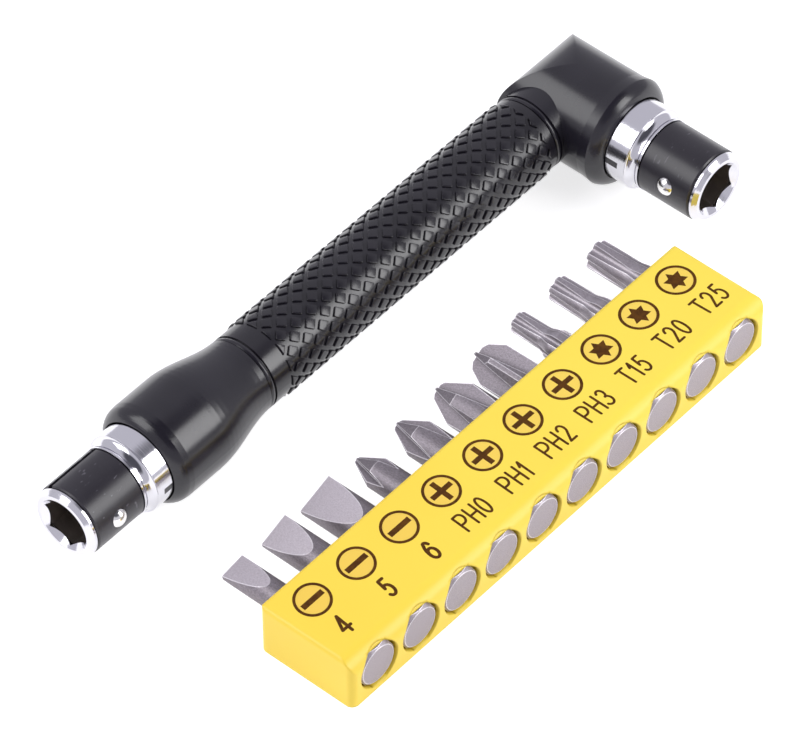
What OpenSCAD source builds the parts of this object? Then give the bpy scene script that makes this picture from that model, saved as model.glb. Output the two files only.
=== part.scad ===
// Offset screwdriver set: an L-shaped hand driver with a ball-detent bit socket at
// each end, and a rack that holds ten 25 mm insert bits.
// The driver lies on its side. Its handle runs along X and its head arm points to -Y.
// Z is up, z = 0 is the surface that the set stands on, and the origin is the middle
// of the set's footprint.

/* [Driver] */
// Distance from the head axis to the mouth of the end socket
handle_reach = 101.3; // [90:0.1:140]
// Distance from the handle axis to the mouth of the head socket
head_reach = 26.3; // [26.2:0.1:34]
// Bend radius of the core bar, on its centre line
bend_r = 5.5; // [4.5:0.1:5.5]
// Width across flats of the hexagonal core bar
bar_af = 5; // [4:0.1:5.4]
// Length of the core bar inside a socket
bar_grip_len = 7; // [4:0.1:7]

/* [Head housing] */
// Radius of the barrel round the head axis
barrel_r = 7.9; // [7.8:0.05:9]
// Height of the slight lip at the open end of the barrel
barrel_lip = 0.2; // [0.05:0.05:0.3]
// Length over which the barrel rises to the lip
barrel_lip_len = 1.6; // [1:0.1:8]
// Distance that the rounded back of the head stands behind the handle axis
barrel_back = 6.25; // [6:0.05:7]
// Radius of the sleeve collar that meets the grip
collar_r = 5.78; // [5.6:0.02:6.4]
// Distance that the sleeve collar stands out of the barrel
collar_out = 0.25; // [0.2:0.05:2]

/* [Housing rims] */
// Distance from the head socket's mouth back to the arris of its housing
head_rim_back = 16.7; // [16:0.05:17.5]
// Distance from the end socket's mouth back to the arris of its housing
end_rim_back = 16; // [15.8:0.05:17.5]
// Radius of the rounded nose in front of the arris
rim_round = 2.5; // [2.2:0.1:3.2]
// Angle by which the nose turns in at the arris
rim_crease = 15; // [0:1:25]
// Radius of the relief round the socket
relief_r = 6.25; // [6.2:0.05:6.6]
// Distance from a socket mouth back to the floor of the relief
relief_back = 15.8; // [15.2:0.1:16.2]

/* [End housing] */
// Radius of the widest part of the end housing
flare_r = 7.62; // [7.4:0.02:8]
// Distance from the taper forward to the arris of the nose
flare_len = 6.9; // [3:0.05:8]
// Radius that the end housing loses just behind the arris
flare_drop = 0.12; // [0:0.02:0.3]
// Length over which it loses that radius
flare_drop_len = 0.9; // [0.4:0.1:2]
// Length of the curved taper, down to its smallest radius
taper_len = 11.6; // [8:0.1:16]
// Radius at the small end of the taper
taper_end_r = 5.74; // [5.4:0.02:6]

/* [Grip] */
// Radius of the grip between the raised pads
grip_r = 5.74; // [5.6:0.02:6]
// Radius of the bead at the neck of each housing
bead_r = 5.75; // [5.65:0.01:6]
// Width of the bead
bead_len = 0.7; // [0.4:0.05:1]
// Height by which the bead is rounded
bead_round = 0.1; // [0.05:0.01:0.2]
// Width of the fine groove behind the bead
bead_groove_w = 0.15; // [0.1:0.05:0.4]
// Radius at the bottom of the grooves at both ends of the grip
groove_r = 5.5; // [5.2:0.05:5.55]
// Width of the groove between a bead and the grip
groove_w = 0.25; // [0.15:0.05:1]

/* [Socket] */
// Width across flats of the bit bore
bore_af = 6.48; // [6.36:0.01:6.5]
// Depth of the bit bore
bore_depth = 12; // [9:0.1:12.5]
// Radius of the countersink at the mouth
mouth_r = 4.05; // [3.8:0.05:4.2]
// Radius of the rim that stops the spring clip
stop_r = 5.2; // [5.15:0.01:5.3]
// Size of the bevel on that rim
stop_bevel = 0.58; // [0.3:0.02:0.6]
// Length of that rim
stop_len = 0.9; // [0.7:0.05:1.1]
// Upward turn of a flat of the end socket's bore from the -Y side
end_bore_turn = 11; // [-15:1:20]
// Upward turn of a flat of the head socket's bore from the -X side
head_bore_turn = -1; // [-15:1:20]
// Radius of the seat under the spring clip
seat_r = 4.5; // [4.4:0.02:4.6]
// Length of the seat under the spring clip
seat_len = 8.9; // [8:0.1:9.5]
// Radius of the thin ring behind the clip
ring_r = 5.38; // [5.2:0.02:5.6]
// Width of the thin ring
ring_w = 0.3; // [0.2:0.05:0.5]
// Radius at the bottom of the small groove behind the ring
ring_groove_r = 5; // [4.8:0.05:5.1]
// Width of the small groove behind the ring
ring_groove_w = 0.25; // [0.15:0.05:0.4]
// Radius of the neck where the fillet to the collar starts
neck_r = 5.3; // [5.1:0.05:5.5]
// Length of the fillet from the neck to the collar
neck_len = 1.25; // [0.8:0.05:1.6]
// Radius of the collar that the housing holds
socket_r = 6.06; // [5.8:0.02:6.2]
// Distance from the mouth to the back of the collar
collar_back = 18.5; // [17.5:0.1:18.8]
// Radius of the tail behind the collar
tail_r = 4.4; // [4:0.05:4.8]
// Distance from the mouth to the back of the tail
socket_len = 20.5; // [19.5:0.1:20.6]

/* [Ball detent] */
// Radius of the detent ball
ball_r = 1.6; // [1.4:0.02:1.7]
// Distance from the socket axis to the ball at rest
ball_out = 4.25; // [4.1:0.01:4.4]
// Distance from the mouth back to the ball
ball_back = 5.2; // [4:0.1:6]
// Outer radius of the spring clip
clip_r = 5.3; // [5.2:0.02:5.4]
// Gap between the mouth's rim and the spring clip
clip_back_off = 0.25; // [0.1:0.05:0.4]
// Width of the slit in the spring clip
slit_w = 0.9; // [0.5:0.1:1.5]
// Angle from the ball to the slit
slit_turn = 120; // [90:1:180]
// Upward turn of the end socket's ball from the -Y side
end_ball_turn = 8; // [0:1:20]
// Upward turn of the head socket's ball from the -X side
head_ball_turn = 11; // [0:1:20]

/* [Key] */
// Width of the housing tooth that keys the socket
key_w = 0.9; // [0.6:0.1:1.4]
// Depth of the tooth in the collar
key_depth = 0.55; // [0.3:0.05:0.7]
// Distance from the mouth back to the tip of the tooth
key_back = 12.8; // [12.4:0.1:14]
// Upward turn of the head socket's tooth from the -X side
head_key_turn = 6; // [0:1:20]

/* [Rack] */
// Number of bit pockets
pockets = 10; // [10:1:12]
// Distance between neighbouring pockets
pocket_pitch = 8.11; // [8:0.01:9]
// Distance from an end of the rack to the nearest pocket axis
end_margin = 5.24; // [4.6:0.02:7]
// Width of the rack, along the bits
rack_w = 15.9; // [14:0.1:18]
// Height of the rack
rack_h = 8.44; // [8.4:0.02:11]
// Height of the pocket axes above the bottom
pocket_z = 4.25; // [4:0.05:4.5]
// Distance from the handle axis to the far side of the rack
rack_away = 28.3; // [28:0.1:50]
// Distance from the head axis to the near end of the rack
rack_in = 11.77; // [0:0.01:20]
// Depth of the round mouth that each pocket has at the near side
pocket_mouth_len = 1.2; // [0.5:0.1:2]
// Radius of the long rounded edge at the near top
front_round = 2.6; // [1.5:0.1:3.2]
// Radius of the other top edges
top_round = 0.65; // [0.4:0.05:1]
// Radius of the upright edges
side_round = 1.1; // [0.5:0.1:2]

/* [Bits] */
// Overall length of each bit
bit_len = 25; // [24:0.1:32]
// Width across flats of the hexagonal drive
bit_af = 6.35; // [6.3:0.01:6.35]
// Length of the hexagonal drive
drive_len = 12.5; // [10:0.1:13]
// Radius to which the corners of the drive are turned
drive_corner_r = 3.5; // [3.4:0.01:3.6]
// Radius of the flat end face of the drive
drive_end_r = 2.95; // [2.6:0.05:3.1]
// Distance that the bits lie back from the near side of the rack
bit_recess = 0.2; // [0:0.05:0.5]

/* [Slotted bits] */
// Blade widths
blade_widths = [4, 5, 6];
// Blade thicknesses at the tip
blade_tips = [0.8, 1, 1.2];
// Lengths of the ground flats
grind_lens = [6.7, 7.3, 8.8];
// Turn of each blade from level
blade_turns = [10, 21, 20];

/* [Phillips bits] */
// Shaft diameters
cross_shafts = [4.5, 5.4, 6.5, 6.98];
// Radii of the blunt tips
cross_tips = [0.45, 0.75, 1.15, 1.75];
// Half the angle of the cone at the tip
cross_cone = 26.5; // [24:0.5:30]
// Slopes of the flute roots
cross_roots = [18.2, 16.2, 13.6, 10.5];
// Half the angle between the walls of a flute
cross_flute = 45.5; // [44:0.5:47]
// Gaps between a flute root and the axis, at the tip
cross_webs = [0.12, 0.15, 0.2, 0.25];
// Turn of one wing of each tip from level
cross_turns = [108, 112, 124, 124];

/* [Star bits] */
// Point to point diameters
star_points = [3.27, 3.86, 4.43];
// Diameters at the flute bottoms
star_roots = [2.3, 2.72, 3.12];
// Diameter of the shaft behind the flutes
star_shafts = [4.7, 4.9, 5.1];
// Lengths of the straight fluted part
star_lens = [4.6, 5.4, 6.2];
// Length of the flare from the fluted part to the shaft
star_flare = 2.6; // [1.5:0.1:3]
// Outward slope of the flutes toward the shaft
star_slope = 4.5; // [2:0.5:6]
// Bevel at the tip
star_bevel = 0.2; // [0.1:0.05:0.3]

/* [Clearances] */
// Gap between a moulding and the metal inside it
mould_gap = 0.04; // [0.02:0.01:0.08]
// Gap round the detent ball
ball_gap = 0.05; // [0.03:0.01:0.1]
// Gap between the clip and the metal round it
clip_gap = 0.03; // [0.02:0.01:0.05]
// Gap between a bit and the flats of its pocket
pocket_gap = 0.05; // [0.03:0.01:0.15]

/* [Hidden] */
$fn = 96;
// How far a cutting body reaches past what it cuts
overrun = 0.5;
// Share of the housing's taper that is used before the part line
taper_used_share = 0.957;
// Steps of a curved profile
curve_steps = 12;
// The barrel rests on the ground at its lip
rim_r = barrel_r + barrel_lip;
axis_z = rim_r;
elbow_x = (handle_reach - rim_r) / 2;
rack_depth = rack_away + rack_w;
elbow_y = (rack_depth - max(barrel_back, flare_r)) / 2;
// Distances along the handle, from the head axis
collar_u = barrel_r + collar_out;
head_neck_u = collar_u + bead_groove_w + bead_len;
nose_u = handle_reach - end_rim_back;
flare_u = nose_u - flare_len;
part_u = flare_u - taper_len * taper_used_share;
end_neck_u = part_u - bead_groove_w - bead_len;
// Distances along the socket, from its mouth
seat_back = stop_len + seat_len;
ring_back = seat_back + ring_w;
neck_back = ring_back + ring_groove_w;
bar_back = socket_len - bar_grip_len;
// Rack
rack_len = (pockets - 1) * pocket_pitch + end_margin * 2;
rack_x = elbow_x - rack_in - rack_len;
rack_y = elbow_y - rack_away - rack_w;

// Circle radius whose hexagon has the given width across flats
function hex_r(af) = af / 2 / cos(30);

// Points of an arc of radius r about c, in the plane of a profile
function arc(c, r, from, to) =
    [for (i = [0 : curve_steps]) c + r * [cos(from + (to - from) * i / curve_steps),
                                          sin(from + (to - from) * i / curve_steps)]];

// The elbow, where the handle axis crosses the head axis
module at_elbow() {
    translate([elbow_x, elbow_y, axis_z]) children();
}

// Local Z points out along the handle, X to the -Y side and Y up
module along_handle() {
    at_elbow() rotate([90, 0, 0]) rotate([0, -90, 0]) children();
}

// Local Z points out along the head arm, X to the -X side and Y down
module along_head() {
    at_elbow() rotate([0, 180, 0]) rotate([90, 0, 0]) children();
}

// Straight hexagonal prism with two opposite edges on local X
module hex_prism(af, from, to) {
    translate([0, 0, from]) cylinder(r = hex_r(af), h = to - from, $fn = 6);
}

// The bent hexagonal bar, made larger by grow all round
module bar_shape(grow) {
    af = bar_af + grow * 2;
    along_handle() hex_prism(af, bend_r, handle_reach - bar_back + grow);
    along_head() hex_prism(af, bend_r, head_reach - bar_back + grow);
    at_elbow()
        translate([-bend_r, -bend_r, 0])
            rotate_extrude(angle = 90)
                translate([bend_r, 0]) circle(r = hex_r(af), $fn = 6);
}

module core_bar() {
    color("dimgray") bar_shape(0);
}

// Cut for a socket whose mouth lies at the given distance along local Z
module socket_seat(reach) {
    translate([0, 0, reach - collar_back - mould_gap])
        cylinder(r = socket_r + mould_gap, h = collar_back);
    translate([0, 0, reach - socket_len - mould_gap])
        cylinder(r = tail_r + mould_gap, h = socket_len);
    translate([0, 0, reach - relief_back]) cylinder(r = relief_r, h = relief_back);
}

// Tooth of the housing that fills the slot in the socket's collar
module key_tooth(reach, turn) {
    root_back = (relief_back + collar_back) / 2;
    rotate([0, 0, turn]) {
        translate([socket_r - key_depth, -key_w / 2, reach - root_back])
            cube([key_depth, key_w, root_back - key_back]);
        translate([socket_r - key_depth, -key_w / 2, reach - root_back])
            cube([key_depth + relief_r - socket_r, key_w, root_back - relief_back]);
    }
}

// Rounded nose of a housing whose arris has radius r and lies at u, down to the axis
function nose_profile(r, u) = concat(
    arc([r - rim_round * cos(rim_crease), u - rim_round * sin(rim_crease)], rim_round,
        rim_crease, 90),
    [[0, u + rim_round * (1 - sin(rim_crease))]]);

// Bead and fine groove at a housing's neck, as [radius, distance from the housing]
function bead_profile() = concat(
    [[groove_r, 0], [groove_r, bead_groove_w]],
    [for (i = [0 : curve_steps])
        [bead_r - bead_round * (1 - sin(180 * i / curve_steps)),
         bead_groove_w + bead_len * i / curve_steps]]);

// Head housing: a barrel across the handle, with its back rounded off to meet it
module head_housing() {
    rim_u = head_reach - head_rim_back;
    back_y = barrel_back - barrel_r;
    color("#323036") difference() {
        union() {
            intersection() {
                along_head() rotate_extrude() polygon(concat(
                    [[0, -barrel_back - overrun], [barrel_r, -barrel_back - overrun],
                     [barrel_r, rim_u - barrel_lip_len]],
                    nose_profile(rim_r, rim_u)));
                union() {
                    at_elbow() translate([0, back_y, 0])
                        rotate([0, 90, 0]) cylinder(r = barrel_r, h = rim_r * 4, center = true);
                    at_elbow() translate([-rim_r * 2, back_y - head_reach, -rim_r * 2])
                        cube([rim_r * 4, head_reach, rim_r * 4]);
                }
            }
            along_handle() rotate_extrude() polygon(concat(
                [[0, 0], [collar_r, 0], [collar_r, collar_u]],
                [for (p = bead_profile()) [p[0], collar_u + p[1]]],
                [[0, head_neck_u]]));
        }
        along_head() socket_seat(head_reach);
        bar_shape(mould_gap);
        along_handle() hex_prism(bar_af + mould_gap * 2, bend_r, head_neck_u + overrun);
    }
    color("#323036") along_head() key_tooth(head_reach, -head_key_turn);
}

// End housing: a round nose that tapers to the grip along half a cosine wave
module end_housing() {
    mid_r = (flare_r + taper_end_r) / 2;
    wave_r = (flare_r - taper_end_r) / 2;
    color("#323036") difference() {
        along_handle() rotate_extrude() polygon(concat(
            [[0, end_neck_u]],
            [for (i = [len(bead_profile()) - 1 : -1 : 0]) let (p = bead_profile()[i])
                [p[0], part_u - p[1]]],
            [for (i = [curve_steps : -1 : 0]) let (t = taper_used_share * i / curve_steps)
                [mid_r + wave_r * cos(180 * t), flare_u - taper_len * t]],
            [[flare_r, nose_u - flare_drop_len]],
            nose_profile(flare_r - flare_drop, nose_u)));
        along_handle() socket_seat(handle_reach);
        along_handle()
            hex_prism(bar_af + mould_gap * 2, end_neck_u - overrun, handle_reach - relief_back);
    }
    color("#323036") along_handle() key_tooth(handle_reach, 0);
}

// Grip: a tube over the core bar, between the two housings
module grip_sleeve() {
    color("#2e2c31") along_handle() difference() {
        rotate_extrude() polygon([
            [0, head_neck_u + mould_gap], [groove_r, head_neck_u + mould_gap],
            [groove_r, head_neck_u + groove_w], [grip_r, head_neck_u + groove_w],
            [grip_r, end_neck_u - groove_w], [groove_r, end_neck_u - groove_w],
            [groove_r, end_neck_u - mould_gap], [0, end_neck_u - mould_gap]]);
        hex_prism(bar_af + mould_gap * 2, head_neck_u - overrun, end_neck_u + overrun);
    }
}

// Socket in its own frame: mouth at z = 0, body behind it, ball near the X side
module socket(reach, ball_turn, bore_turn, key_turn) {
    translate([0, 0, reach]) difference() {
        rotate_extrude() polygon(concat(
            [[0, 0], [stop_r - stop_bevel, 0], [stop_r, -stop_bevel], [stop_r, -stop_len],
             [seat_r, -stop_len], [seat_r, -seat_back], [ring_r, -seat_back],
             [ring_r, -ring_back], [ring_groove_r, -ring_back], [ring_groove_r, -neck_back]],
            [for (i = [0 : curve_steps]) let (a = 90 * i / curve_steps)
                [socket_r - (socket_r - neck_r) * cos(a), -neck_back - neck_len * sin(a)]],
            [[socket_r, -collar_back], [tail_r, -collar_back], [tail_r, -socket_len],
             [0, -socket_len]]));
        rotate([0, 0, bore_turn + 30]) hex_prism(bore_af, -bore_depth, overrun);
        translate([0, 0, -mouth_r])
            cylinder(r1 = 0, r2 = mouth_r + overrun, h = mouth_r + overrun);
        rotate([0, 0, ball_turn]) translate([ball_out, 0, -ball_back]) ball_hole(socket_r);
        hex_prism(bar_af + mould_gap * 2, -socket_len - overrun, -bar_back + mould_gap * 2);
        rotate([0, 0, key_turn])
            translate([socket_r - key_depth - mould_gap, -key_w / 2 - mould_gap,
                       -collar_back - overrun])
                cube([key_depth + overrun, key_w + mould_gap * 2,
                      collar_back + overrun - key_back + mould_gap]);
    }
}

// Round seat for the ball, open outward along X for the given length
module ball_hole(len) {
    sphere(r = ball_r + ball_gap);
    rotate([0, 90, 0]) cylinder(r = ball_r + ball_gap, h = len);
}

module head_socket() {
    color("silver") along_head()
        socket(head_reach, -head_ball_turn, -head_bore_turn, -head_key_turn);
}

module end_socket() {
    color("silver") along_handle() socket(handle_reach, end_ball_turn, end_bore_turn, 0);
}

// Spring clip: a slit steel sleeve that holds the ball in its hole
module clip(reach, ball_turn) {
    front = -stop_len - clip_back_off;
    back = -seat_back + clip_gap;
    inner_r = seat_r + clip_gap;
    bevel = (clip_r - inner_r) / 4;
    translate([0, 0, reach]) rotate([0, 0, ball_turn]) difference() {
        rotate_extrude() polygon([
            [inner_r, front], [clip_r - bevel, front], [clip_r, front - bevel],
            [clip_r, back + bevel], [clip_r - bevel, back], [inner_r, back]]);
        translate([ball_out, 0, -ball_back]) sphere(r = ball_r + ball_gap);
        rotate([0, 0, slit_turn])
            translate([0, -slit_w / 2, back - overrun])
                cube([clip_r + overrun, slit_w, front - back + overrun * 2]);
    }
}

module head_clip() {
    color("#3a383e") along_head() clip(head_reach, -head_ball_turn);
}

module end_clip() {
    color("#3a383e") along_handle() clip(handle_reach, end_ball_turn);
}

module ball(reach, ball_turn) {
    translate([0, 0, reach]) rotate([0, 0, ball_turn])
        translate([ball_out, 0, -ball_back]) sphere(r = ball_r);
}

module head_ball() {
    color("gainsboro") along_head() ball(head_reach, -head_ball_turn);
}

module end_ball() {
    color("gainsboro") along_handle() ball(handle_reach, end_ball_turn);
}

// Rectangle from the origin with all four corners rounded
module rounded_rect(w, h, r) {
    translate([r, 0]) square([w - r * 2, h]);
    translate([0, r]) square([w, h - r * 2]);
    for (x = [r, w - r], y = [r, h - r])
        translate([x, y]) circle(r = r);
}

// Rectangle with its lower corners square and its upper corners rounded
module arched(w, h, r_left, r_right) {
    square([w, h - max(r_left, r_right)]);
    translate([r_left, 0]) square([w - r_left - r_right, h]);
    translate([0, 0]) square([r_left, h - r_left]);
    translate([w - r_right, 0]) square([r_right, h - r_right]);
    translate([r_left, h - r_left]) circle(r = r_left);
    translate([w - r_right, h - r_right]) circle(r = r_right);
}

// Rack: a block with rounded edges and a row of hexagonal through pockets, round at
// their near mouths
module bit_rack() {
    color("#ffe14d") translate([rack_x, rack_y, 0]) difference() {
        intersection() {
            rotate([90, 0, 90])
                linear_extrude(rack_len) arched(rack_w, rack_h, front_round, top_round);
            translate([0, rack_w, 0]) rotate([90, 0, 0])
                linear_extrude(rack_w) arched(rack_len, rack_h, top_round, top_round);
            linear_extrude(rack_h) rounded_rect(rack_len, rack_w, side_round);
        }
        for (i = [0 : pockets - 1])
            translate([end_margin + i * pocket_pitch, 0, pocket_z]) rotate([-90, 0, 0]) {
                hex_prism(bit_af + pocket_gap * 2, pocket_mouth_len / 2, rack_w + overrun);
                translate([0, 0, -overrun])
                    cylinder(r = drive_corner_r + pocket_gap, h = pocket_mouth_len + overrun);
            }
    }
}

// Pocket of the rack, counted from the -X end: local Z runs along the bit from its
// back end to its tip, X stays level and Y points down
module in_pocket(i) {
    translate([rack_x + end_margin + i * pocket_pitch, rack_y + bit_recess, pocket_z])
        rotate([-90, 0, 0]) children();
}

// Hexagonal drive end of a bit, with turned ends
module bit_drive() {
    bevel = drive_corner_r - drive_end_r;
    intersection() {
        hex_prism(bit_af, 0, drive_len);
        rotate_extrude() polygon([
            [0, 0], [drive_end_r, 0], [drive_corner_r, bevel],
            [drive_corner_r, drive_len - bevel], [drive_end_r, drive_len], [0, drive_len]]);
    }
}

// Round shaft from inside the drive to the tip, no wider than the drive's hexagon
module bit_shaft(r) {
    intersection() {
        hex_prism(bit_af, drive_len / 2, bit_len);
        translate([0, 0, drive_len / 2]) cylinder(r = r, h = bit_len - drive_len / 2);
    }
}

// Slotted bit: two flats ground on the round shaft
module slotted_bit(size, i) {
    tip = blade_tips[size] / 2;
    r = norm([blade_widths[size] / 2, tip]);
    grind_back = bit_len - grind_lens[size];
    color("#aaa3ab") in_pocket(i) {
        bit_drive();
        intersection() {
            bit_shaft(r);
            rotate([0, 0, 90 - blade_turns[size]]) rotate([90, 0, 0])
                linear_extrude(height = r * 4, center = true)
                    polygon([[-tip, bit_len], [-r, grind_back], [-r - overrun, grind_back],
                             [-r - overrun, 0], [r + overrun, 0], [r + overrun, grind_back],
                             [r, grind_back], [tip, bit_len]]);
        }
    }
}

// Phillips bit: a coned tip with four V flutes that run out on the shaft
module phillips_bit(size, i) {
    r = cross_shafts[size] / 2;
    tip_r = cross_tips[size];
    cone_len = (r - tip_r) / tan(cross_cone);
    blunt = tip_r / 3;
    reach = r * 2;
    wall = reach * tan(cross_flute);
    color("#aaa3ab") in_pocket(i) {
        bit_drive();
        difference() {
            intersection() {
                bit_shaft(r);
                rotate_extrude() polygon([
                    [0, 0], [r + overrun, 0], [r + overrun, bit_len - cone_len - overrun],
                    [r, bit_len - cone_len], [tip_r + blunt * tan(cross_cone), bit_len - blunt],
                    [tip_r - blunt, bit_len], [0, bit_len]]);
            }
            for (k = [0 : 3])
                rotate([0, 0, 45 + k * 90 - cross_turns[size]])
                    translate([cross_webs[size], 0, bit_len])
                        rotate([0, 180 - cross_roots[size], 0])
                            translate([0, 0, -overrun])
                                linear_extrude(bit_len)
                                    polygon([[0, 0], [-reach, wall], [-reach, -wall]]);
        }
    }
}

// Star bit: six round flutes in a tapered tip, which flares to the shaft
module star_bit(size, i) {
    point_r = star_points[size] / 2;
    root_r = star_roots[size] / 2;
    shaft_r = star_shafts[size] / 2;
    flute_r = point_r / 3;
    flute_end = bit_len - star_lens[size];
    color("#aaa3ab") in_pocket(i) {
        bit_drive();
        difference() {
            rotate_extrude() polygon(concat(
                [[0, drive_len / 2], [shaft_r, drive_len / 2]],
                [for (k = [0 : curve_steps]) let (t = k / curve_steps)
                    [(shaft_r + point_r) / 2 + (shaft_r - point_r) / 2 * cos(180 * t),
                     flute_end - star_flare * (1 - t)]],
                [[point_r, bit_len - star_bevel], [point_r - star_bevel, bit_len],
                 [0, bit_len]]));
            for (k = [0 : 5])
                rotate([0, 0, k * 60])
                    translate([root_r + flute_r, 0, bit_len])
                        rotate([0, 180 - star_slope, 0])
                            translate([0, 0, -overrun]) cylinder(r = flute_r, h = bit_len / 2);
        }
    }
}

module slotted_bit_4() {
    slotted_bit(0, 0);
}

module slotted_bit_5() {
    slotted_bit(1, 1);
}

module slotted_bit_6() {
    slotted_bit(2, 2);
}

module phillips_bit_0() {
    phillips_bit(0, 3);
}

module phillips_bit_1() {
    phillips_bit(1, 4);
}

module phillips_bit_2() {
    phillips_bit(2, 5);
}

module phillips_bit_3() {
    phillips_bit(3, 6);
}

module star_bit_15() {
    star_bit(0, 7);
}

module star_bit_20() {
    star_bit(1, 8);
}

module star_bit_25() {
    star_bit(2, 9);
}

core_bar();
head_housing();
grip_sleeve();
end_housing();
head_socket();
end_socket();
head_clip();
end_clip();
head_ball();
end_ball();
bit_rack();
slotted_bit_4();
slotted_bit_5();
slotted_bit_6();
phillips_bit_0();
phillips_bit_1();
phillips_bit_2();
phillips_bit_3();
star_bit_15();
star_bit_20();
star_bit_25();
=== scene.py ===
import math

import bmesh
import bpy
from mathutils import Matrix, Vector
from mathutils.geometry import delaunay_2d_cdt


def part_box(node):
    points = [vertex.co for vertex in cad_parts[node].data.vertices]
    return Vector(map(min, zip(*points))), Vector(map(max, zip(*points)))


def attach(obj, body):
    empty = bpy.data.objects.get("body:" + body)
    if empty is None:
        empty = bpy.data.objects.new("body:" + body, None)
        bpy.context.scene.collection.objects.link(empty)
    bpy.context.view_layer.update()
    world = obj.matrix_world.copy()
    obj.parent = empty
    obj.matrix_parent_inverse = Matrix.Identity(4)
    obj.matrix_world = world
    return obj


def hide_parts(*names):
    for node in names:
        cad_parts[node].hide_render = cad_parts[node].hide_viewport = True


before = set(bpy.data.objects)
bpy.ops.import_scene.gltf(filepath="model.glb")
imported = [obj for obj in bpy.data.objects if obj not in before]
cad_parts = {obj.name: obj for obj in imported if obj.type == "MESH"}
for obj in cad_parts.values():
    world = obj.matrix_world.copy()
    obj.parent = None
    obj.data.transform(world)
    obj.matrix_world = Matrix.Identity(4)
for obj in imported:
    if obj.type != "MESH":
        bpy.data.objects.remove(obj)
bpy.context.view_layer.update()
MM = 0.001

# Places that follow from the frame
SOCKET_LO, SOCKET_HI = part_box("end_socket")
HEAD_LO, HEAD_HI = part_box("head_socket")
GRIP_LO, GRIP_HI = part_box("grip_sleeve")
RACK_LO, RACK_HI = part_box("bit_rack")
AXIS_Y = (SOCKET_LO.y + SOCKET_HI.y) / 2
AXIS_Z = (SOCKET_LO.z + SOCKET_HI.z) / 2
HEAD_X = (HEAD_LO.x + HEAD_HI.x) / 2
ELBOW = Vector((HEAD_X, AXIS_Y, AXIS_Z))

# Each bit's node, and the size that the rack's print gives for it
BITS = {"slotted_bit_4": "4", "slotted_bit_5": "5", "slotted_bit_6": "6", "phillips_bit_0": "PH0",
        "phillips_bit_1": "PH1", "phillips_bit_2": "PH2", "phillips_bit_3": "PH3",
        "star_bit_15": "T15", "star_bit_20": "T20", "star_bit_25": "T25"}

# Shader nodes. Their owner is a material or the world.

SPREAD = (0.3, 0.7)         # most of a noise lies between these levels
MIX_INPUTS, MIX_OUTPUT = (0, 6, 7), 2    # a mix node's factor and two colours, and its colour
NORMAL_SAMPLES = 8
SHADE_SAMPLES = 6


def colour(value):
    """A linear colour from a #rrggbb code, from a grey level, or from its own three parts."""
    if isinstance(value, str):
        parts = [int(value[i:i + 2], 16) / 255 for i in (1, 3, 5)]
        value = [p / 12.92 if p <= 0.04045 else ((p + 0.055) / 1.055) ** 2.4 for p in parts]
    elif isinstance(value, float):
        value = [value] * 3
    return (*value, 1.0)


def new_node(owner, kind):
    return owner.node_tree.nodes.new("ShaderNode" + kind)


def feed(owner, value, socket):
    """Links an output to a socket, or sets a plain value on it."""
    if isinstance(value, bpy.types.NodeSocket):
        owner.node_tree.links.new(value, socket)
    else:
        socket.default_value = value


def operate(owner, kind, operation, inputs):
    """A node that does one operation on its inputs."""
    node = new_node(owner, kind)
    node.operation = operation
    for socket, value in zip(node.inputs, inputs):
        feed(owner, value, socket)
    return node


def number_math(owner, operation, *inputs):
    return operate(owner, "Math", operation, inputs).outputs[0]


def vector_math(owner, operation, *inputs):
    """The vector, or for a length or dot product the number, that a vector operation gives."""
    node = operate(owner, "VectorMath", operation, inputs)
    return node.outputs["Value" if operation in ("LENGTH", "DOT_PRODUCT") else "Vector"]


def split(owner, vector):
    """The three parts of a vector."""
    node = new_node(owner, "SeparateXYZ")
    feed(owner, vector, node.inputs[0])
    return node.outputs


def ramp(owner, source, low, high, levels=SPREAD):
    """A colour, or a grey for a number, that goes from low to high between two levels of its source."""
    node = new_node(owner, "ValToRGB")
    for element, level, value in zip(node.color_ramp.elements, levels, (low, high)):
        element.position = level
        element.color = colour(value)
    feed(owner, source, node.inputs["Fac"])
    return node.outputs["Color"]


def mix(owner, factor, first, second, blend="MIX"):
    """A colour mix of two outputs by a third."""
    node = new_node(owner, "Mix")
    node.data_type = "RGBA"
    node.blend_type = blend
    for socket, value in zip(MIX_INPUTS, (factor, first, second)):
        feed(owner, value, node.inputs[socket])
    return node.outputs[MIX_OUTPUT]


def noise(owner, scale, stretch=(1, 1, 1), detail=4.0):
    """A noise on the object's own coordinates. Its scale is per metre, and stretch is by axis."""
    mapping = new_node(owner, "Mapping")
    feed(owner, new_node(owner, "TexCoord").outputs["Object"], mapping.inputs["Vector"])
    feed(owner, stretch, mapping.inputs["Scale"])
    texture = new_node(owner, "TexNoise")
    feed(owner, mapping.outputs["Vector"], texture.inputs["Vector"])
    feed(owner, scale, texture.inputs["Scale"])
    feed(owner, detail, texture.inputs["Detail"])
    return texture.outputs["Fac"]


def rounded(owner, radius):
    """The surface's normal with its edges rounded by the radius."""
    node = new_node(owner, "Bevel")
    node.samples = NORMAL_SAMPLES
    feed(owner, radius, node.inputs["Radius"])
    return node.outputs["Normal"]


def bump(owner, shader, source, distance, under=None):
    """Bumps of the given height on the shader's surface, over another normal if one is given."""
    node = new_node(owner, "Bump")
    feed(owner, distance, node.inputs["Distance"])
    feed(owner, source, node.inputs["Height"])
    if under:
        feed(owner, under, node.inputs["Normal"])
    feed(owner, node.outputs["Normal"], shader.inputs["Normal"])


def new_material(name, **inputs):
    """A Principled material and its shader, with the given socket values."""
    mat = bpy.data.materials.new(name)
    mat.use_nodes = True
    shader = mat.node_tree.nodes["Principled BSDF"]
    for key, value in inputs.items():
        shader.inputs[key.replace("_", " ")].default_value = value
    return mat, shader


# Black plastic and blackened steel

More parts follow.
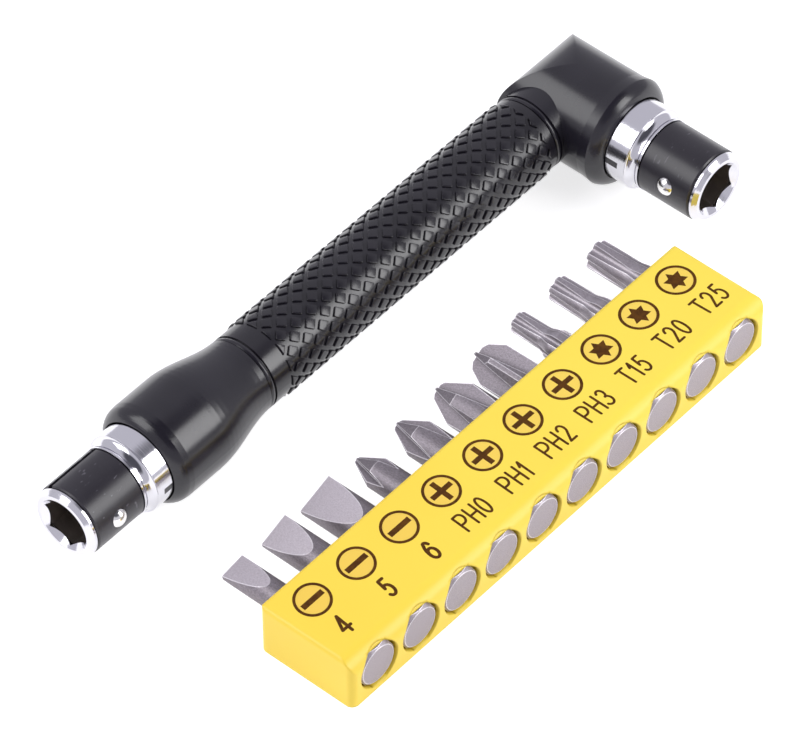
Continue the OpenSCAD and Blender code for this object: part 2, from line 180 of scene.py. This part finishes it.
CLOUD_SCALE = 120
GRAIN_SCALE = 1800
GLOSS_CHANGE = (-0.02, 0.03)    # how far the roughness goes down and up
SCUFF_STRETCH = (900, 2600, 380)
SCUFF_LEVELS = (0.66, 0.74)     # levels of the noise between which a scuff sets in
SCUFF_SHARE = 0.5               # how far a scuff hides the black
SCUFF_COLOURS = ("#5c5962", "#8a8790")


def moulded(name, dark, light, roughness, grain, scuffed=False):
    """Black surface with slight clouding of its colour, a fine grain and, if asked for, fine scuffs."""
    mat, shader = new_material(name)
    cloud = noise(mat, CLOUD_SCALE)
    base = ramp(mat, cloud, dark, light)
    if scuffed:
        worn = ramp(mat, noise(mat, 1.0, SCUFF_STRETCH, detail=2), 0.0, SCUFF_SHARE, SCUFF_LEVELS)
        base = mix(mat, worn, base, ramp(mat, cloud, *SCUFF_COLOURS))
    feed(mat, base, shader.inputs["Base Color"])
    gloss = [roughness + change for change in GLOSS_CHANGE]
    feed(mat, ramp(mat, cloud, *gloss), shader.inputs["Roughness"])
    bump(mat, shader, noise(mat, GRAIN_SCALE), grain)
    return mat


HOUSING = moulded("housing_black", "#1a1820", "#232129", 0.22, 0.0012 * MM)
GRIP = moulded("grip_black", "#18161d", "#222027", 0.2, 0.0012 * MM)
CLIP = moulded("clip_black", "#1f1c24", "#2b2830", 0.32, 0.001 * MM, scuffed=True)

# Chrome of the two sockets, and the plain steels

CHROME_LOOK = {"Base Color": ("#d3d2d8", "#b0a8a2"), "Roughness": (0.13, 0.34)}    # plate, then bore
MARKS_ALONG, MARKS_ROUND = 5200.0, 300.0    # noise scales of the turning marks
MARKS_DEPTH = 0.011 * MM
BORE_REACH = 4.0 * MM       # the corners of the bores lie within this of their axes
BORE_START = 0.85 * MM      # the bores are dull from this depth on
WEAR_SCALE = 160
WEAR_CHANGE = 1.4           # the dullest places of a plain steel are this much rougher
COARSE = (0.35, 0.7)        # levels between which a coarser change goes


def bore_mask(mat, mouth, along):
    """1 inside the bore whose mouth and axis are given, 0 outside it."""
    offset = vector_math(mat, "SUBTRACT", new_node(mat, "TexCoord").outputs["Object"], mouth)
    across = [0.0 if k == along else 1.0 for k in range(3)]
    away = vector_math(mat, "LENGTH", vector_math(mat, "MULTIPLY", offset, across))
    near = number_math(mat, "LESS_THAN", away, BORE_REACH)
    deep = number_math(mat, "GREATER_THAN", split(mat, offset)[along], BORE_START)
    return number_math(mat, "MULTIPLY", near, deep)


def chrome(name, mouth, along):
    """Chrome plate over turning marks, with a dull brown bore behind the mouth."""
    mat, shader = new_material(name, Metallic=1.0)
    inside = bore_mask(mat, mouth, along)
    for socket, (plate, bore) in CHROME_LOOK.items():
        feed(mat, ramp(mat, inside, plate, bore, (0.0, 1.0)), shader.inputs[socket])
    stretch = [MARKS_ALONG if k == along else MARKS_ROUND for k in range(3)]
    bump(mat, shader, noise(mat, 1.0, stretch, detail=3), MARKS_DEPTH)
    return mat


def metal(name, tint, roughness):
    """Plain steel, duller in places."""
    mat, shader = new_material(name, Metallic=1.0, Base_Color=tint)
    dull = ramp(mat, noise(mat, WEAR_SCALE), roughness, roughness * WEAR_CHANGE, COARSE)
    feed(mat, dull, shader.inputs["Roughness"])
    return mat


END_CHROME = chrome("socket_chrome_end", (SOCKET_LO.x, AXIS_Y, AXIS_Z), 0)
HEAD_CHROME = chrome("socket_chrome_head", (HEAD_X, HEAD_LO.y, AXIS_Z), 1)
BALL = metal("ball_steel", (0.8, 0.79, 0.78, 1), 0.12)
CORE = metal("core_steel", (0.4, 0.4, 0.42, 1), 0.35)

# Blasted steel of the bits: a dark and a light colour for each part of a bit

SPECKLE_STRETCH = (9000, 3000, 9000)
SPECKLE_LEVELS = (0.32, 0.7)
SPECKLE_DEPTH = 0.004 * MM
PLATED = 0.65               # share of bare metal in the look
TIPS_FROM = RACK_HI.y - 2 * MM      # the tips' colours start inside the rack, at this Y
GROUND_TURN = 0.03          # a face is a ground one where its normal's Y is above this
FLUTE_REACH = 0.9 * MM      # painted shade: walls within this of a face darken it
FLUTE_PAINTED_SHADE = (0.25, 1.0)   # darkest and lightest share of the colour that the painted shade leaves
FLUTE_LEVELS = (0.25, 0.95)
EDGE_RADIUS = 0.18 * MM
HIGHLIGHT_SHARE = 0.85           # how far the painted edge highlight hides the steel
EDGE_LEVELS = (0.988, 0.9985)       # cosines of the turn of the normal at an edge
# painted highlight: near-white colours put along the bits' edges
HIGHLIGHT_COLOURS = ("#e4dfe6", "#fbf8fc")
DISC = ("#90888d", "#b6adb3")


def painted_flute_shade(mat):
    """Painted shade: a grey that darkens toward the bottom of the flutes."""
    corners = new_node(mat, "AmbientOcclusion")
    corners.samples = SHADE_SAMPLES
    feed(mat, FLUTE_REACH, corners.inputs["Distance"])
    return ramp(mat, corners.outputs["AO"], *FLUTE_PAINTED_SHADE, FLUTE_LEVELS)


def highlight_mask(mat):
    """Mask of the painted highlight: light along the edges, dark away from them."""
    plain = new_node(mat, "NewGeometry").outputs["Normal"]
    turn = vector_math(mat, "DOT_PRODUCT", rounded(mat, EDGE_RADIUS), plain)
    return ramp(mat, turn, HIGHLIGHT_SHARE, 0.0, EDGE_LEVELS)


def blasted(name, tip, shank, roughness):
    """Plated tool steel with very fine marks, with painted shade in its flutes and a painted highlight along
    its edges.
    """
    mat, shader = new_material(name, Metallic=PLATED, Roughness=roughness)
    speckle = noise(mat, 1.0, SPECKLE_STRETCH, detail=5)
    at_end, at_shank, at_tip = [ramp(mat, speckle, *pair, SPECKLE_LEVELS) for pair in (DISC, shank, tip)]
    coords = new_node(mat, "TexCoord")
    beyond = number_math(mat, "GREATER_THAN", split(mat, coords.outputs["Object"])["Y"], TIPS_FROM)
    ground = number_math(mat, "GREATER_THAN", split(mat, coords.outputs["Normal"])["Y"], GROUND_TURN)
    steel = mix(mat, beyond, at_end, mix(mat, ground, at_shank, at_tip))
    # painted shade: the tips' colour is darkened toward the bottom of their flutes
    steel = mix(mat, beyond, steel, painted_flute_shade(mat), "MULTIPLY")
    # painted highlight along the edges, laid over the steel
    bright = ramp(mat, speckle, *HIGHLIGHT_COLOURS)
    feed(mat, mix(mat, highlight_mask(mat), steel, bright), shader.inputs["Base Color"])
    bump(mat, shader, speckle, SPECKLE_DEPTH)
    return mat


BIT_STEELS = {
    "slotted": blasted("blade_steel", ("#bbb3ba", "#d1cad1"), ("#756e75", "#989198"), 0.5),
    "phillips": blasted("cross_steel", ("#7f787f", "#9f989f"), ("#767076", "#979097"), 0.5),
    "star": blasted("star_steel", ("#968f96", "#b0a9b0"), ("#8d868d", "#aaa3aa"), 0.42),
}

# Yellow plastic of the rack, and its prints

TINT_SCALE = 30
DIMPLE_SCALE = 700
DIMPLE_DEPTH = 0.003 * MM
RACK_EDGE = 0.4 * MM        # the plastic's edges look rounded by this much
INK_SCALE = 1500


def rack_plastic(name, low, high):
    """Smooth yellow plastic, a little more orange in places."""
    mat, shader = new_material(name, Roughness=0.4)
    feed(mat, ramp(mat, noise(mat, TINT_SCALE, detail=2), low, high), shader.inputs["Base Color"])
    bump(mat, shader, noise(mat, DIMPLE_SCALE), DIMPLE_DEPTH, rounded(mat, RACK_EDGE))
    return mat


def ink(name, low, high):
    """Dull brown print, uneven in a fine grain."""
    mat, shader = new_material(name, Roughness=0.75, Specular_IOR_Level=0.2)
    feed(mat, ramp(mat, noise(mat, INK_SCALE, detail=5), low, high, COARSE), shader.inputs["Base Color"])
    return mat


YELLOW = rack_plastic("rack_yellow", "#ffdd48", "#ffe552")
WARM = rack_plastic("ring_yellow", "#f7cf50", "#fad858")
INK = ink("print_brown", "#4b2a02", "#633c08")

NODE_MATERIALS = {"core_bar": CORE, "head_housing": HOUSING, "end_housing": HOUSING,
                  "grip_sleeve": GRIP, "head_socket": HEAD_CHROME, "end_socket": END_CHROME,
                  "head_clip": CLIP, "end_clip": CLIP, "head_ball": BALL, "end_ball": BALL,
                  "bit_rack": YELLOW}
for bit in BITS:
    NODE_MATERIALS[bit] = BIT_STEELS[bit.split("_")[0]]
for node, mat in NODE_MATERIALS.items():
    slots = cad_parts[node].data.materials
    slots.clear()
    slots.append(mat)

# Pieces of the scene's own


def finished(bm, name):
    """The mesh made from a bmesh, which is freed."""
    mesh = bpy.data.meshes.new(name)
    bm.to_mesh(mesh)
    bm.free()
    return mesh


def close_up(bm, loops):
    """Faces that join successive loops of vertices, and one on each end."""
    for low, high in zip(loops, loops[1:]):
        for i in range(len(low)):
            j = (i + 1) % len(low)
            bm.faces.new((low[i], low[j], high[j], high[i]))
    bm.faces.new(loops[-1])
    bm.faces.new(loops[0][::-1])


def add_piece(mesh, mat, body):
    """Links a mesh as one piece of the object, riding on a body."""
    piece = bpy.data.objects.new(mesh.name, mesh)
    bpy.context.scene.collection.objects.link(piece)
    mesh.materials.append(mat)
    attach(piece, body)
    return piece


# The chrome sockets: the same shapes with their facets smoothed and their edges broken

WELD = 0.001 * MM           # points nearer than this are one
FLAT_ANGLE = math.radians(0.6)      # facets that turn less than this are one
SHARP_ANGLE = math.radians(25)      # edges that turn more than this stay edges
EDGE_BREAK = 0.07 * MM
EDGE_SEGMENTS = 2


def polished(node, mat):
    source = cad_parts[node].data
    mesh = bpy.data.meshes.new(node + "_polished")
    mesh.from_pydata([v.co for v in source.vertices], [], [list(p.vertices) for p in source.polygons])
    bm = bmesh.new()
    bm.from_mesh(mesh)
    bmesh.ops.remove_doubles(bm, verts=bm.verts, dist=WELD)
    bmesh.ops.dissolve_limit(bm, angle_limit=FLAT_ANGLE, verts=bm.verts, edges=bm.edges)
    bm.to_mesh(mesh)
    bm.free()
    mesh.shade_smooth()
    mesh.set_sharp_from_angle(angle=SHARP_ANGLE)
    piece = add_piece(mesh, mat, "driver")
    edge = piece.modifiers.new("edges", "BEVEL")
    edge.width = EDGE_BREAK
    edge.segments = EDGE_SEGMENTS
    edge.limit_method = "ANGLE"
    edge.angle_limit = SHARP_ANGLE
    piece.modifiers.new("normals", "WEIGHTED_NORMAL").keep_sharp = True
    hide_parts(node)


polished("end_socket", END_CHROME)
polished("head_socket", HEAD_CHROME)

# Raised pads of the grip: rounded squares on their corners, in half-staggered columns

PAD_COUNT = 14              # pads round the grip
PAD_STEP = 1.515 * MM       # from one column to the next
PAD_HALF = 1.02 * MM        # from the middle of a pad to where its corner would be if it were sharp
PAD_CORNER = 0.16 * MM      # radius of a pad's corners
PAD_CORNER_STEPS = 4
PAD_TOP = 6.0 * MM          # radius of the pads' tops
PAD_BASE = 5.7 * MM         # radius at the foot of the pads, just inside the grip
PAD_LAP = 3.15 * MM         # from the flare end of the grip to the first pads
PAD_END = 1.56 * MM         # from the head end of the grip to the last pads
# From the foot of a pad up: how far its outline is drawn in, and the radius there
PAD_LEVELS = [(0.0, PAD_BASE), (0.03 * MM, PAD_TOP - 0.05 * MM), (0.06 * MM, PAD_TOP - 0.012 * MM),
              (0.12 * MM, PAD_TOP)]


def pad_outline(inset):
    """Corner-rounded square on its corner, drawn in by inset."""
    reach = PAD_HALF - (inset + PAD_CORNER) * math.sqrt(2)
    outline = []
    for corner in range(4):
        way = math.pi / 2 * corner
        for k in range(PAD_CORNER_STEPS + 1):
            a = way + math.pi / 2 * (k / PAD_CORNER_STEPS - 0.5)
            outline.append((reach * math.cos(way) + PAD_CORNER * math.cos(a),
                            reach * math.sin(way) + PAD_CORNER * math.sin(a)))
    return outline


def make_pads():
    bm = bmesh.new()
    first = GRIP_LO.x + PAD_LAP
    last = GRIP_HI.x - PAD_END
    for column in range(int((last - first) / PAD_STEP) + 2):
        middle = first + column * PAD_STEP
        for k in range(PAD_COUNT):
            turn = 2 * math.pi * (k + 0.5 * (column % 2)) / PAD_COUNT
            loops = []
            for inset, r in PAD_LEVELS:
                loop = []
                for dx, arc in pad_outline(inset):
                    x = min(max(middle + dx, first + inset), last - inset)
                    a = turn + arc / PAD_TOP
                    loop.append(bm.verts.new((x, AXIS_Y + r * math.cos(a), AXIS_Z + r * math.sin(a))))
                loops.append(loop)
            close_up(bm, loops)
    bmesh.ops.recalc_face_normals(bm, faces=bm.faces)
    mesh = finished(bm, "grip_pads")
    mesh.shade_smooth()
    add_piece(mesh, GRIP, "driver")


make_pads()

# Lips that close the round mouths of the pockets down to the bits' flats

LIP_FLAT = 3.22 * MM        # from a bit's axis to a lip
LIP_R = 3.58 * MM           # radius at the root of a lip, just inside the rack
LIP_SHARE = 0.97            # a lip is this much as wide as the round is at the lip's flat
LIP_BACK = 1.22 * MM        # from the rack's front to the back of a lip
LIP_SINK = 0.01 * MM        # how far a lip's face lies under the rack's
LIP_STEPS = 16
FRONT_ROUND = 2.6 * MM      # radius of the rack's front edge


def lip_face(z):
    """How far a lip's face lies behind the rack's foremost plane, at a height."""
    above = max(0, z - RACK_HI.z + FRONT_ROUND)
    return FRONT_ROUND - math.sqrt(FRONT_ROUND ** 2 - above ** 2) + LIP_SINK


def make_lips():
    bm = bmesh.new()
    wide = math.sqrt(LIP_R ** 2 - LIP_FLAT ** 2) * LIP_SHARE
    for bit in BITS:
        low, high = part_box(bit)
        cx, cz = (low.x + high.x) / 2, (low.z + high.z) / 2
        for side in (1, -1):
            loops = []
            for k in range(LIP_STEPS + 1):
                x = wide * (2 * k / LIP_STEPS - 1)
                flat, root = cz + side * LIP_FLAT, cz + side * math.sqrt(LIP_R ** 2 - x ** 2)
                section = ((lip_face(flat), flat), (LIP_BACK, flat),
                           (LIP_BACK, root), (lip_face(root), root))
                loops.append([bm.verts.new((cx + x, RACK_LO.y + y, z)) for y, z in section])
            close_up(bm, loops)
    bmesh.ops.recalc_face_normals(bm, faces=bm.faces)
    add_piece(finished(bm, "pocket_lips"), YELLOW, "rack")


make_lips()

# Prints on the rack: a ringed symbol and a size at each pocket

PRINT_RISE = 0.012 * MM     # thickness of the print
FIELD_RISE = PRINT_RISE / 2     # and of the warmer field inside a ring
RING_Y = 5.13 * MM          # from the far edge of the rack to the lowest of the rings' centres
RING_BOW = 0.03 * MM        # the print bows: a ring rises by this times the square of its count from
RING_MID = 4.2              # this one, where rings count from 0
RING_SHIFT = 0.38 * MM      # how much nearer to the head than its pocket
SHIFT_MID = 5               # this ring stands, and the others less
RING_R = 2.52 * MM
RING_LINE = 0.42 * MM
RING_STEPS = 96
FIELD_R = RING_R - RING_LINE / 4
FIELD_STEPS = 64
BAR_LEN, BAR_WIDTH = 3.85 * MM, 0.88 * MM
CROSS_LEN, CROSS_WIDTH = 3.75 * MM, 0.8 * MM
STAR_POINTS = 6
STAR_R, STAR_NOTCH = 1.74 * MM, 1.0 * MM
LABEL_DROP = 5.65 * MM      # from a ring's centre to the middle of its label
LETTER_H, LETTER_W, LETTER_GAP = 3.0 * MM, 1.3 * MM, 0.68 * MM
LETTER_LINE, DIGIT_LINE = 0.36 * MM, 0.47 * MM
LEAN, LEAN_STEP = 5.5, -0.85    # degrees by which the first label leans, and the change to the next
PEN_SIDES = 16              # a stroke is drawn with a round pen of this many sides,
PEN_TURN = 0.1              # turned a little, so that its corners miss the stroke's own
SHORTEST = 1e-7             # metres below which a stroke has no direction
CDT_HULL, CDT_REACH = 0, 1e-8   # delaunay_2d_cdt fills the whole hull, and joins points this near


def arc_points(cx, cy, rx, ry, start, end, steps=14):
    """Points of an elliptic arc, its angles in degrees."""
    return [(cx + rx * math.cos(math.radians(start + (end - start) * i / steps)),
             cy + ry * math.sin(math.radians(start + (end - start) * i / steps)))
            for i in range(steps + 1)]


# Width of each letter as a share of LETTER_W, and its strokes in a box one unit high
GLYPHS = {
    "P": (1.0, [[(0, 0), (0, 1), (0.5, 1)] + arc_points(0.5, 0.72, 0.5, 0.28, 90, -90, 10) + [(0, 0.44)]]),
    "H": (1.0, [[(0, 0), (0, 1)], [(1, 0), (1, 1)], [(0, 0.5), (1, 0.5)]]),
    "T": (1.0, [[(0, 1), (1, 1)], [(0.5, 1), (0.5, 0)]]),
    "0": (0.85, [arc_points(0.5, 0.5, 0.5, 0.5, 90, 450, 28)]),
    "1": (0.4, [[(0.0, 0.72), (0.75, 1), (0.75, 0)]]),
    "2": (0.85, [arc_points(0.5, 0.72, 0.48, 0.28, 165, -35) + [(0.02, 0), (1, 0)]]),
    "3": (0.85, [arc_points(0.45, 0.75, 0.45, 0.25, 150, -80)
                 + arc_points(0.42, 0.27, 0.56, 0.27, 75, -150)]),
    "4": (1.15, [[(0.66, 0), (0.66, 1), (0, 0.27), (1, 0.27)]]),
    "5": (0.85, [[(0.95, 1), (0.25, 1), (0.12, 0.5)] + arc_points(0.42, 0.33, 0.56, 0.33, 110, -145)]),
    "6": (0.95, [[(0.92, 0.82)] + arc_points(0.58, 0.7, 0.36, 0.3, 40, 110, 6)
                 + arc_points(0.62, 0.34, 0.6, 0.6, 125, 180, 8)
                 + arc_points(0.5, 0.31, 0.48, 0.31, 180, 540, 24)]),
}


def polar(r, a, cx=0.0, cy=0.0):
    """The flat point at a radius and an angle, in radians, round a centre."""
    return Vector((cx + r * math.cos(a), cy + r * math.sin(a)))


def stroke(points, width):
    """Outlines that make up a ribbon of the given width along points."""
    half = width / 2
    shapes = []
    for a, b in zip(points, points[1:]):
        a, b = Vector(a), Vector(b)
        if (b - a).length > SHORTEST:
            side = (b - a).normalized().orthogonal() * half
            shapes.append([a - side, b - side, b + side, a + side])
    turns = [2 * math.pi * i / PEN_SIDES + PEN_TURN for i in range(PEN_SIDES)]
    shapes += [[polar(half, a, x, y) for a in turns] for x, y in points]
    return shapes


def ring(r, width):
    """Outlines that make up a ring."""
    inner, outer = r - width / 2, r + width / 2
    turns = [2 * math.pi * i / RING_STEPS for i in range(RING_STEPS + 1)]
    return [[polar(inner, a), polar(outer, a), polar(outer, b), polar(inner, b)]
            for a, b in zip(turns, turns[1:])]


def bar(length, width):
    x, y = length / 2, width / 2
    return [Vector((-x, -y)), Vector((x, -y)), Vector((x, y)), Vector((-x, y))]


def symbol(label):
    """The slot, cross or star inside a ring."""
    if label.startswith("PH"):
        return [bar(CROSS_LEN, CROSS_WIDTH), bar(CROSS_WIDTH, CROSS_LEN)]
    if label.startswith("T"):
        corners = range(2 * STAR_POINTS)
        return [[polar(STAR_NOTCH if k % 2 else STAR_R, math.pi * (0.5 + k / STAR_POINTS)) for k in corners]]
    return [bar(BAR_LEN, BAR_WIDTH)]


def lettering(label):
    """Outlines of a label's letters round its middle."""
    width = sum(GLYPHS[c][0] * LETTER_W for c in label) + (len(label) - 1) * LETTER_GAP
    line = DIGIT_LINE if len(label) == 1 else LETTER_LINE
    x = -width / 2
    shapes = []
    for c in label:
        share, lines = GLYPHS[c]
        for points in lines:
            shapes += stroke([(x + px * share * LETTER_W, (py - 0.5) * LETTER_H) for px, py in points], line)
        x += share * LETTER_W + LETTER_GAP
    return shapes


def flat_union(bm, shapes, low, high):
    """A thin closed plate over the union of flat outlines."""
    points = [p for shape in shapes for p in shape]
    faces, start = [], 0
    for shape in shapes:
        faces.append(list(range(start, start + len(shape))))
        start += len(shape)
    verts, _, tris, _, _, origins = delaunay_2d_cdt(points, [], faces, CDT_HULL, CDT_REACH)
    tris = [list(tri) for tri, origin in zip(tris, origins) if origin]
    bottom = [bm.verts.new((v.x, v.y, low)) for v in verts]
    top = [bm.verts.new((v.x, v.y, high)) for v in verts]
    for tri in tris:
        bm.faces.new([top[i] for i in tri])
        bm.faces.new([bottom[i] for i in reversed(tri)])
    edges = [edge for tri in tris for edge in zip(tri, tri[1:] + tri[:1])]
    shared = {(j, i) for i, j in edges}
    for i, j in edges:
        if (i, j) not in shared:
            bm.faces.new((bottom[i], bottom[j], top[j], top[i]))


def make_prints():
    prints, fields = bmesh.new(), bmesh.new()
    z = RACK_HI.z
    field = [[polar(FIELD_R, 2 * math.pi * k / FIELD_STEPS) for k in range(FIELD_STEPS)]]
    for i, (bit, label) in enumerate(BITS.items()):
        low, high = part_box(bit)
        cx = (low.x + high.x) / 2 + RING_SHIFT * (1 - ((i - SHIFT_MID) / SHIFT_MID) ** 2)
        cy = RACK_HI.y - RING_Y + RING_BOW * (i - RING_MID) ** 2
        lean = math.tan(math.radians(LEAN + LEAN_STEP * i))
        shapes = ring(RING_R, RING_LINE) + symbol(label)
        shapes += [[Vector((p.x, p.y - LABEL_DROP)) for p in shape] for shape in lettering(label)]
        for bm, flat, rise in ((prints, shapes, PRINT_RISE), (fields, field, FIELD_RISE)):
            placed = [[Vector((cx + p.x + p.y * lean, cy + p.y)) for p in shape] for shape in flat]
            flat_union(bm, placed, z, z + rise)
    for name, bm, mat in (("rack_prints", prints, INK), ("ring_fields", fields, WARM)):
        add_piece(finished(bm, name), mat, "rack")


make_prints()

# Camera, fitted to the photograph

CAM_OFFSET = Vector((-507.00, -416.87, 668.43)) * MM    # from the elbow
CAM_RIGHT = Vector((0.65546, -0.75518, -0.00821))
CAM_UP = Vector((0.56304, 0.48139, 0.67176))
CAM_LENS, CAM_SENSOR = 308.87, 36
CAM_NEAR, CAM_FAR = 0.01, 10


def make_camera():
    data = bpy.data.cameras.new("camera")
    cam = bpy.data.objects.new("camera", data)
    bpy.context.scene.collection.objects.link(cam)
    back = CAM_RIGHT.cross(CAM_UP).normalized()
    up = back.cross(CAM_RIGHT).normalized()
    turn = Matrix((CAM_RIGHT.normalized(), up, back)).transposed().to_4x4()
    cam.matrix_world = Matrix.Translation(ELBOW + CAM_OFFSET) @ turn
    data.sensor_width = CAM_SENSOR
    data.lens = CAM_LENS
    data.clip_start, data.clip_end = CAM_NEAR, CAM_FAR
    bpy.context.scene.camera = cam


make_camera()

# Floor and light

FLOOR_SIZE = 3              # metres
FLOOR_DROP = 0.01 * MM      # the floor lies this much under the object
FLOOR_WHITE = (0.82, 0.82, 0.82, 1)
FLOOR_GLOW = 0.72
SKY = (0.7, 0.69, 0.76)     # level of the studio round the object
SKY_DARK = (0.1, 0.1, 0.12)     # level of its dark side, where the photographer stands
DARK_WAY = Vector((-0.1, -0.4, 0.917)).normalized()     # where that side is, seen from the object
DARK_LEVELS = (0.74, 0.86)  # cosines of the angle from there, at its outer and inner edge
LIGHT_TARGET = Vector((0, 0, 5 * MM))
# Soft boxes: the way to each from the target, how far it is, its two sizes in metres, and its watts
SOFT_BOXES = {"overhead": ((-0.587, 0.445, 0.675), 0.6, (0.4, 0.4), 1.7),
              "strip": ((0.4, -0.75, 0.52), 0.5, (0.2, 0.34), 1.3)}


def make_floor():
    """White floor that keeps a faint shadow. It glows only where it is seen, straight or mirrored."""
    bpy.ops.mesh.primitive_plane_add(size=FLOOR_SIZE, location=(0, 0, -FLOOR_DROP))
    floor = bpy.context.object
    floor.name = "floor"
    mat, shader = new_material("floor_white", Base_Color=FLOOR_WHITE, Roughness=0.9)
    path = new_node(mat, "LightPath")
    seen = path.outputs["Is Camera Ray"]
    for name in ("Is Glossy Ray", "Is Transmission Ray"):
        seen = number_math(mat, "MAXIMUM", seen, path.outputs[name])
    glow = new_node(mat, "Emission")
    feed(mat, number_math(mat, "MULTIPLY", seen, FLOOR_GLOW), glow.inputs["Strength"])
    both = new_node(mat, "AddShader")
    feed(mat, shader.outputs[0], both.inputs[0])
    feed(mat, glow.outputs[0], both.inputs[1])
    feed(mat, both.outputs[0], mat.node_tree.nodes["Material Output"].inputs["Surface"])
    floor.data.materials.append(mat)


def area_light(name, way, away, size, watts):
    """A soft box in the direction way from the target, and turned toward it."""
    data = bpy.data.lights.new(name, "AREA")
    data.shape = "RECTANGLE"
    data.size, data.size_y = size
    data.energy = watts
    light = bpy.data.objects.new(name, data)
    bpy.context.scene.collection.objects.link(light)
    place = LIGHT_TARGET + Vector(way).normalized() * away
    light.location = place
    light.rotation_mode = "QUATERNION"
    light.rotation_quaternion = (LIGHT_TARGET - place).to_track_quat("-Z", "Y")


def make_light():
    """A bright studio with one dark side, and the soft boxes."""
    world = bpy.data.worlds.new("world")
    bpy.context.scene.world = world
    world.use_nodes = True
    way = new_node(world, "TexCoord").outputs["Generated"]
    toward = vector_math(world, "DOT_PRODUCT", way, DARK_WAY)
    sky = ramp(world, toward, SKY, SKY_DARK, DARK_LEVELS)
    feed(world, sky, world.node_tree.nodes["Background"].inputs["Color"])
    for name, settings in SOFT_BOXES.items():
        area_light(name, *settings)


make_floor()
make_light()

bpy.context.scene.view_settings.view_transform = "Standard"
